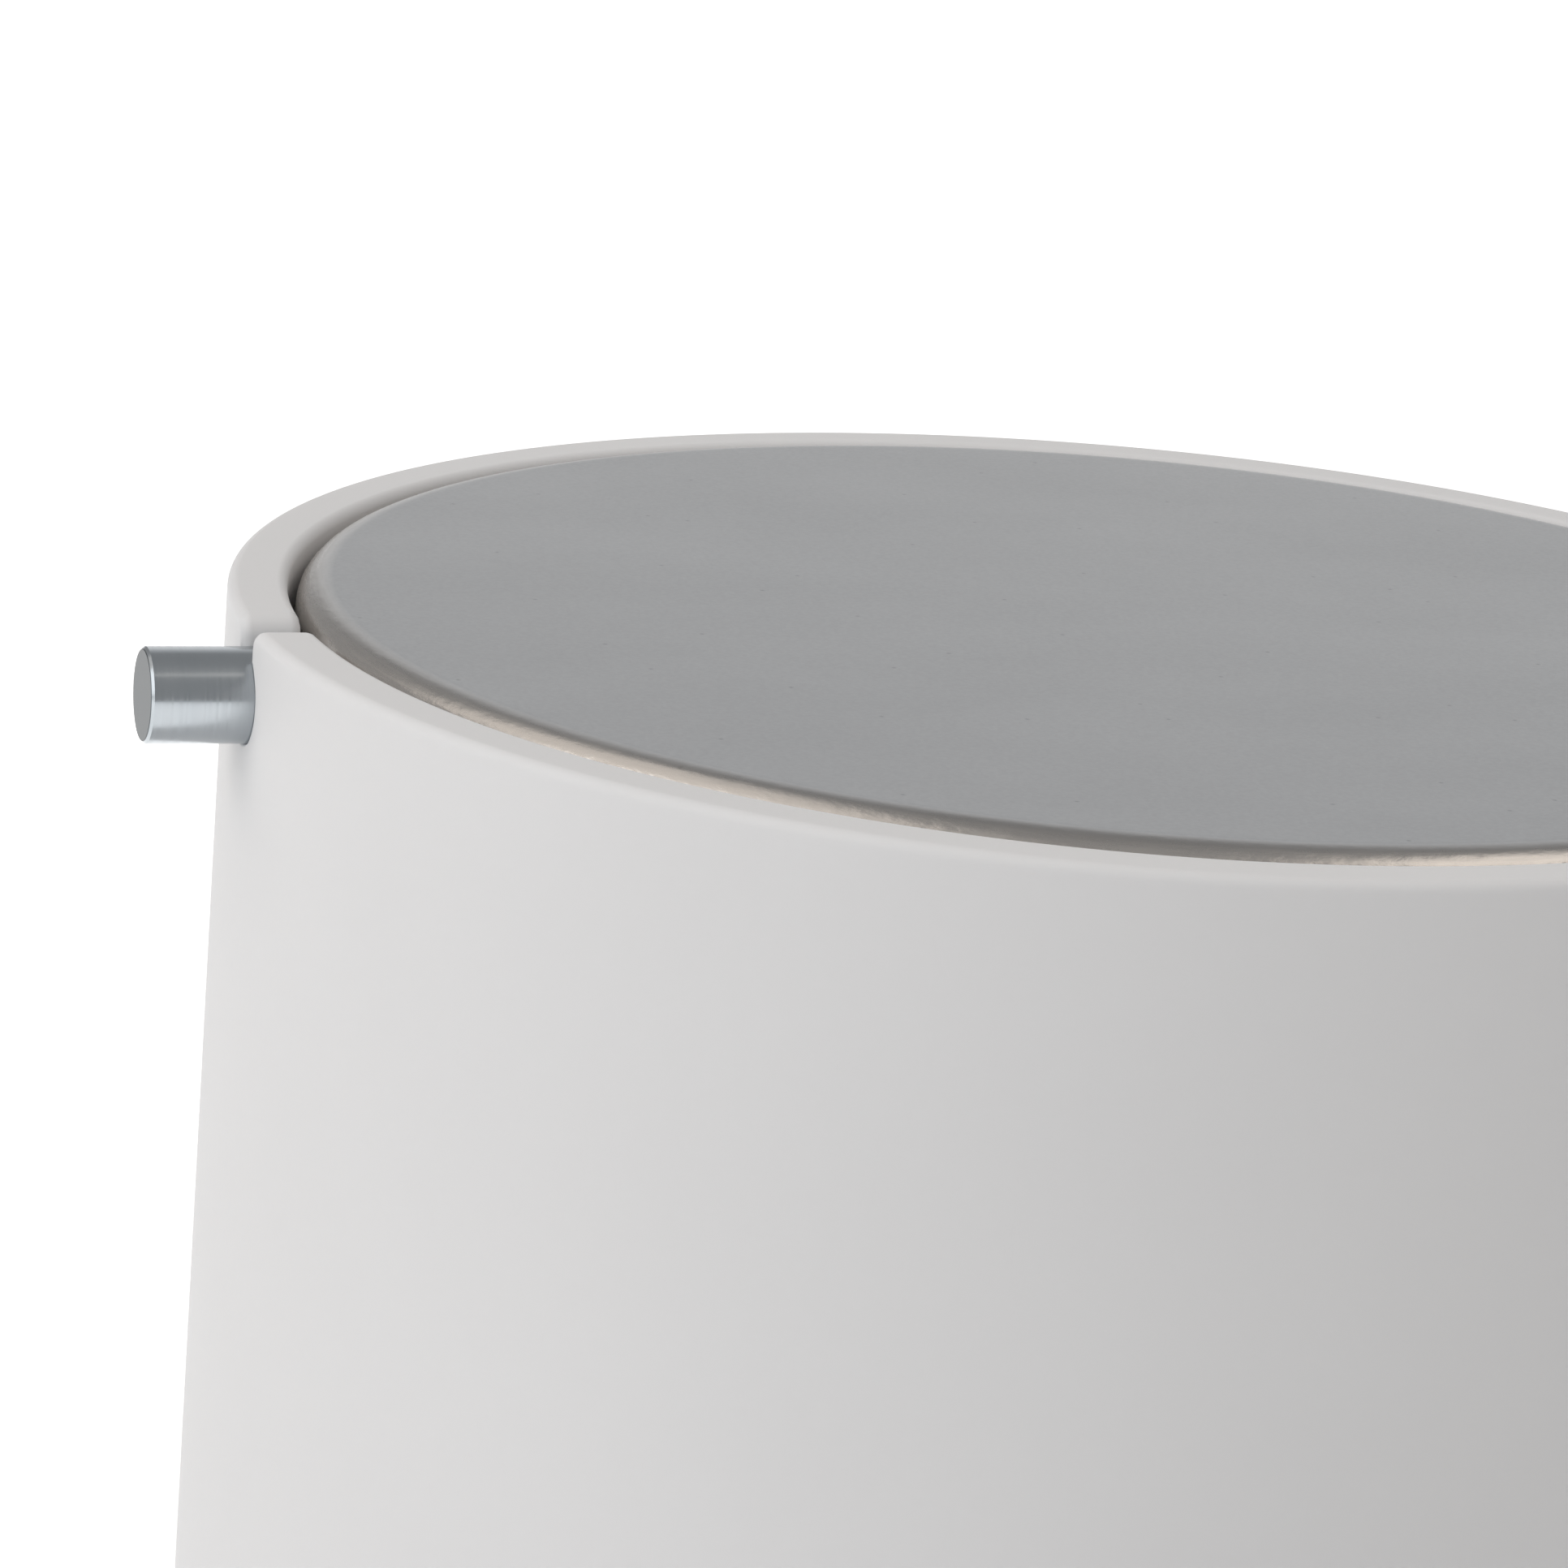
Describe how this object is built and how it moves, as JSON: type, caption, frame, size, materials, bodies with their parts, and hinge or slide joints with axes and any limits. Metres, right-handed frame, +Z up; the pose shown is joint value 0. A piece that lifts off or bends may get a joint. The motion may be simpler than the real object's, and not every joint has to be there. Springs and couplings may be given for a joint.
{
  "type": "lidded canister",
  "caption": "Straight round table-top canister with a flush disc lid that flips right over on a rod snapped into keyholes in the rim.",
  "frame": {"origin": "centre of the underside, on the surface that the canister stands on", "axes": "+Z up along the vessel's axis, X along the lid's rod"},
  "size_m": [0.1276, 0.115, 0.1553],
  "materials": {
    "white_rubber": "matt moulded white silicone rubber",
    "satin_steel": "satin drawn stainless sheet",
    "ground_steel": "centreless ground round bar",
    "zinc_steel": "bright zinc plated sheet",
    "screw_steel": "dark zinc plated",
    "core_plastic": "moulded grey ABS",
    "bond_film": "clear adhesive film"
  },
  "bodies": {
    "vessel": {"vessel_shell": "white_rubber", "base_plate": "zinc_steel"},
    "lid": {"lid_top_pan": "satin_steel", "lid_bottom_pan": "satin_steel", "lid_core": "core_plastic", "bond_film_top": "bond_film", "bond_film_bottom": "bond_film", "axle_rod": "ground_steel", "axle_clamp_left": "zinc_steel", "axle_clamp_right": "zinc_steel", "clamp_screws": "screw_steel"}
  },
  "joints": [
    {"name": "lid_flip", "type": "hinge", "parent": "vessel", "child": "lid", "pos_m": [0, 0, 0.1504], "axis": [1, 0, 0], "continuous": true}
  ]
}
